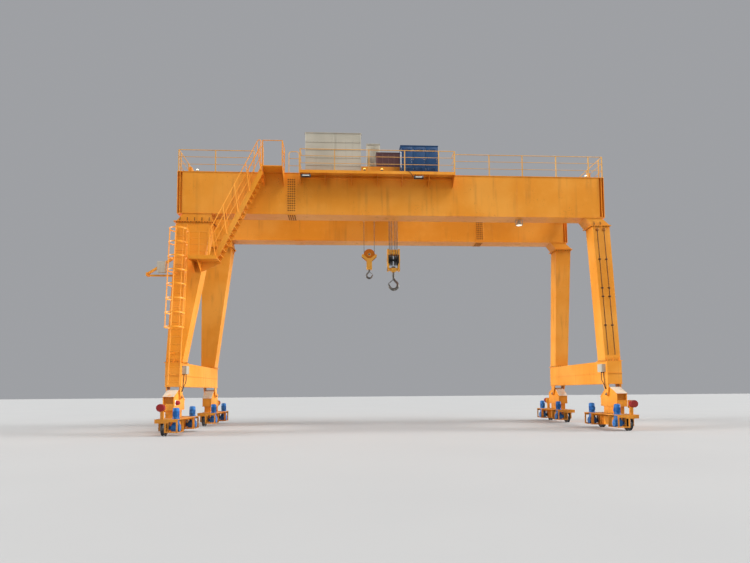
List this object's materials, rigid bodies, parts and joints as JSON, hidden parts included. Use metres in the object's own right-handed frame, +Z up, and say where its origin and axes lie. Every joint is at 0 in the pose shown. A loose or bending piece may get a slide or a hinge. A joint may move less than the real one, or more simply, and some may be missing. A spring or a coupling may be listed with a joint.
{
  "type": "gantry crane",
  "caption": "Double-girder gantry crane on rail bogies, with rigid and slim box legs, a travelling hoist trolley, main and small hooks, stair and caged ladder.",
  "frame": {"origin": "middle of the overall box at the lowest point of the wheel flanges; the middle between the runway rails lies 0.455 m along +X, because the collector arm reaches out on the left", "axes": "+X along the span from the rigid legs with the ladder to the slim legs, +Y along the runway away from the side with the stair, +Z up"},
  "size_m": [19.77, 9.18, 12.865],
  "materials": {
    "orange_paint": "weathered semi-gloss orange-yellow paint",
    "blue_paint": "semi-gloss blue paint",
    "grey_paint": "satin grey-beige paint",
    "dark_steel": "dull dark grey, greasy",
    "bare_steel": "worn bare steel"
  },
  "bodies": {
    "crane_frame": {"front_girder": "orange_paint", "rear_girder": "orange_paint", "girder_end_beams": "orange_paint", "trolley_rails": "bare_steel", "front_left_leg": "orange_paint", "rear_left_leg": "orange_paint", "front_right_leg": "orange_paint", "rear_right_leg": "orange_paint", "left_sill_beam": "orange_paint", "right_sill_beam": "orange_paint", "bogie_brackets": "orange_paint", "bracket_walkway": "orange_paint", "walkway_railing": "orange_paint", "girder_railings": "orange_paint", "end_railings": "orange_paint", "equipment_house": "grey_paint", "control_cabinet": "blue_paint", "caged_ladder": "orange_paint", "leg_platform": "orange_paint", "stair": "orange_paint", "stair_handrails": "orange_paint", "stair_landing": "orange_paint", "collector_arm": "orange_paint", "electrical_boxes": "grey_paint"},
    "trolley": {"trolley_frame": "orange_paint", "trolley_wheels": "dark_steel", "hoist_drums": "bare_steel", "hoist_drives": "blue_paint", "fixed_sheaves": "dark_steel", "trolley_cabinet": "grey_paint", "main_ropes": "bare_steel", "aux_ropes": "bare_steel"},
    "main_block": {"main_block": "orange_paint"},
    "main_hook": {"main_hook": "dark_steel"},
    "aux_block": {"aux_block": "orange_paint"},
    "aux_hook": {"aux_hook": "dark_steel"},
    "front_left_bogie": {"front_left_bogie": "orange_paint", "front_left_drives": "blue_paint"},
    "front_left_outer_wheel": {"front_left_outer_wheel": "dark_steel"},
    "front_left_inner_wheel": {"front_left_inner_wheel": "dark_steel"},
    "rear_left_bogie": {"rear_left_bogie": "orange_paint", "rear_left_drives": "blue_paint"},
    "rear_left_outer_wheel": {"rear_left_outer_wheel": "dark_steel"},
    "rear_left_inner_wheel": {"rear_left_inner_wheel": "dark_steel"},
    "front_right_bogie": {"front_right_bogie": "orange_paint", "front_right_drives": "blue_paint"},
    "front_right_outer_wheel": {"front_right_outer_wheel": "dark_steel"},
    "front_right_inner_wheel": {"front_right_inner_wheel": "dark_steel"},
    "rear_right_bogie": {"rear_right_bogie": "orange_paint", "rear_right_drives": "blue_paint"},
    "rear_right_outer_wheel": {"rear_right_outer_wheel": "dark_steel"},
    "rear_right_inner_wheel": {"rear_right_inner_wheel": "dark_steel"}
  },
  "joints": [
    {"name": "trolley_travel", "type": "slide", "parent": "crane_frame", "child": "trolley", "axis": [1, 0, 0], "range_m": [-6.65, 7.7]},
    {"name": "main_hoist", "type": "slide", "parent": "trolley", "child": "main_block", "axis": [0, 0, 1], "range_m": [-6, 1.8], "deforming": ["main_ropes"]},
    {"name": "aux_hoist", "type": "slide", "parent": "trolley", "child": "aux_block", "axis": [0, 0, 1], "range_m": [-6.5, 1.8], "deforming": ["aux_ropes"]},
    {"name": "main_hook_swivel", "type": "hinge", "parent": "main_block", "child": "main_hook", "pos_m": [0.56, 0, 7.33], "axis": [0, 0, 1], "continuous": true},
    {"name": "aux_hook_swivel", "type": "hinge", "parent": "aux_block", "child": "aux_hook", "pos_m": [-0.575, 0, 7.365], "axis": [0, 0, 1], "continuous": true},
    {"name": "front_left_bogie_pivot", "type": "hinge", "parent": "crane_frame", "child": "front_left_bogie", "pos_m": [-8.545, -2.95, 1.45], "axis": [1, 0, 0], "range_deg": [-3, 3]},
    {"name": "front_left_outer_wheel_turn", "type": "hinge", "parent": "front_left_bogie", "child": "front_left_outer_wheel", "pos_m": [-8.545, -4.05, 0.3], "axis": [1, 0, 0], "continuous": true},
    {"name": "front_left_inner_wheel_turn", "type": "hinge", "parent": "front_left_bogie", "child": "front_left_inner_wheel", "pos_m": [-8.545, -1.85, 0.3], "axis": [1, 0, 0], "continuous": true},
    {"name": "rear_left_bogie_pivot", "type": "hinge", "parent": "crane_frame", "child": "rear_left_bogie", "pos_m": [-8.545, 2.95, 1.45], "axis": [1, 0, 0], "range_deg": [-3, 3]},
    {"name": "rear_left_outer_wheel_turn", "type": "hinge", "parent": "rear_left_bogie", "child": "rear_left_outer_wheel", "pos_m": [-8.545, 4.05, 0.3], "axis": [1, 0, 0], "continuous": true},
    {"name": "rear_left_inner_wheel_turn", "type": "hinge", "parent": "rear_left_bogie", "child": "rear_left_inner_wheel", "pos_m": [-8.545, 1.85, 0.3], "axis": [1, 0, 0], "continuous": true},
    {"name": "front_right_bogie_pivot", "type": "hinge", "parent": "crane_frame", "child": "front_right_bogie", "pos_m": [9.455, -2.95, 1.45], "axis": [1, 0, 0], "range_deg": [-3, 3]},
    {"name": "front_right_outer_wheel_turn", "type": "hinge", "parent": "front_right_bogie", "child": "front_right_outer_wheel", "pos_m": [9.455, -4.05, 0.3], "axis": [1, 0, 0], "continuous": true},
    {"name": "front_right_inner_wheel_turn", "type": "hinge", "parent": "front_right_bogie", "child": "front_right_inner_wheel", "pos_m": [9.455, -1.85, 0.3], "axis": [1, 0, 0], "continuous": true},
    {"name": "rear_right_bogie_pivot", "type": "hinge", "parent": "crane_frame", "child": "rear_right_bogie", "pos_m": [9.455, 2.95, 1.45], "axis": [1, 0, 0], "range_deg": [-3, 3]},
    {"name": "rear_right_outer_wheel_turn", "type": "hinge", "parent": "rear_right_bogie", "child": "rear_right_outer_wheel", "pos_m": [9.455, 4.05, 0.3], "axis": [1, 0, 0], "continuous": true},
    {"name": "rear_right_inner_wheel_turn", "type": "hinge", "parent": "rear_right_bogie", "child": "rear_right_inner_wheel", "pos_m": [9.455, 1.85, 0.3], "axis": [1, 0, 0], "continuous": true}
  ]
}
